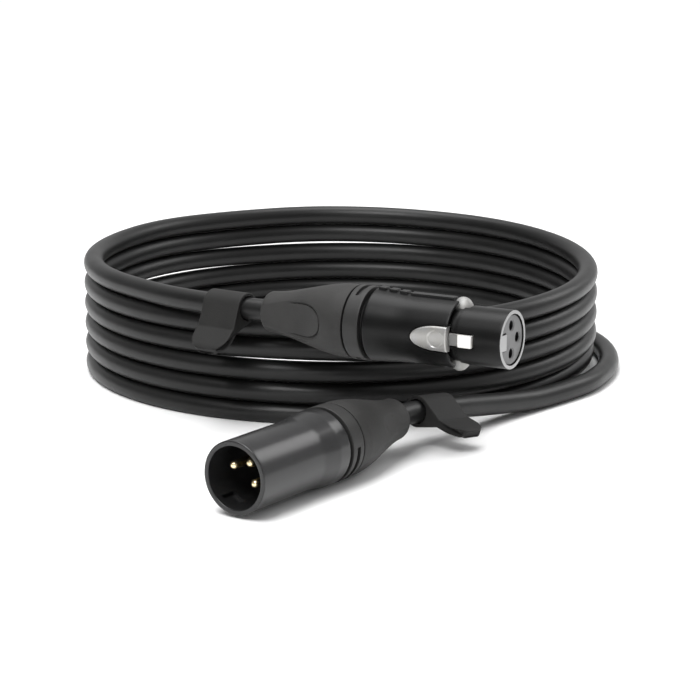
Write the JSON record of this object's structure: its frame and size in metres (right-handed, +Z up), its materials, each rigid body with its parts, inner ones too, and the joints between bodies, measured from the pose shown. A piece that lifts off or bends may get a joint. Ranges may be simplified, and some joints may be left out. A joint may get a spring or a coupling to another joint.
{
  "type": "xlr cable coil",
  "caption": "Microphone lead wound into a stacked coil, with a female and a male three-pole cable plug and a rubber tag behind each.",
  "frame": {"origin": "middle of the bounding box in X and Y, on the surface that the coil lies on", "axes": "+Z up, along the axis of the coil; -Y is the front, where both plugs lie; +X is to the right seen from the front"},
  "size_m": [0.1706, 0.2566, 0.0453],
  "materials": {
    "jacket": "matte black PVC jacket",
    "boot_rubber": "matte dark grey rubber",
    "ring_plastic": "satin dark grey plastic",
    "acetal": "natural white acetal",
    "black_shell": "satin black coated zinc",
    "black_chrome": "glossy black chrome on zinc",
    "grey_insert": "mid-grey glass-filled nylon",
    "black_insert": "black glass-filled nylon",
    "nickel": "satin nickel",
    "spring_steel": "spring steel",
    "gold": "gold-plated brass",
    "tag_rubber": "warm dark grey rubber",
    "bare_copper": "bare copper shield, twisted",
    "red_insulation": "red insulation",
    "white_insulation": "white insulation"
  },
  "bodies": {
    "cable_and_plugs": {"cable_coil": "jacket", "cable_lead_female": "jacket", "cable_lead_male": "jacket", "female_boot": "boot_rubber", "female_ring": "ring_plastic", "female_chuck": "acetal", "female_cable_tail": "jacket", "female_shell": "black_shell", "female_insert": "grey_insert", "female_contact_1": "gold", "female_contact_2": "gold", "female_contact_3": "gold", "female_conductor_1": "bare_copper", "female_conductor_2": "red_insulation", "female_conductor_3": "white_insulation", "female_latch_leaf": "spring_steel", "female_earthing_clip": "nickel", "male_boot": "boot_rubber", "male_ring": "ring_plastic", "male_chuck": "acetal", "male_cable_tail": "jacket", "male_shell": "black_chrome", "male_insert": "black_insert", "male_pin_1": "gold", "male_pin_2": "gold", "male_pin_3": "gold", "male_conductor_1": "bare_copper", "male_conductor_2": "red_insulation", "male_conductor_3": "white_insulation"},
    "latch": {"female_latch": "nickel"},
    "female_tag_body": {"female_tag": "tag_rubber"},
    "male_tag_body": {"male_tag": "tag_rubber"}
  },
  "joints": [
    {"name": "latch_press", "type": "hinge", "parent": "cable_and_plugs", "child": "latch", "pos_m": [0.01445, -0.06984, 0.03487], "axis": [0, 0, 1], "range_deg": [0, 5], "stiffness_Nm_per_rad": 0.6},
    {"name": "female_tag_turn", "type": "hinge", "parent": "cable_and_plugs", "child": "female_tag_body", "pos_m": [-0.03488, -0.03275, 0.0348], "axis": [-0.8067, 0.5909, -0.0115], "range_deg": [-35, 200]},
    {"name": "male_tag_turn", "type": "hinge", "parent": "cable_and_plugs", "child": "male_tag_body", "pos_m": [0.02178, -0.05192, 0.00928], "axis": [-0.6595, -0.7427, 0.1161], "range_deg": [-12, 200]}
  ]
}
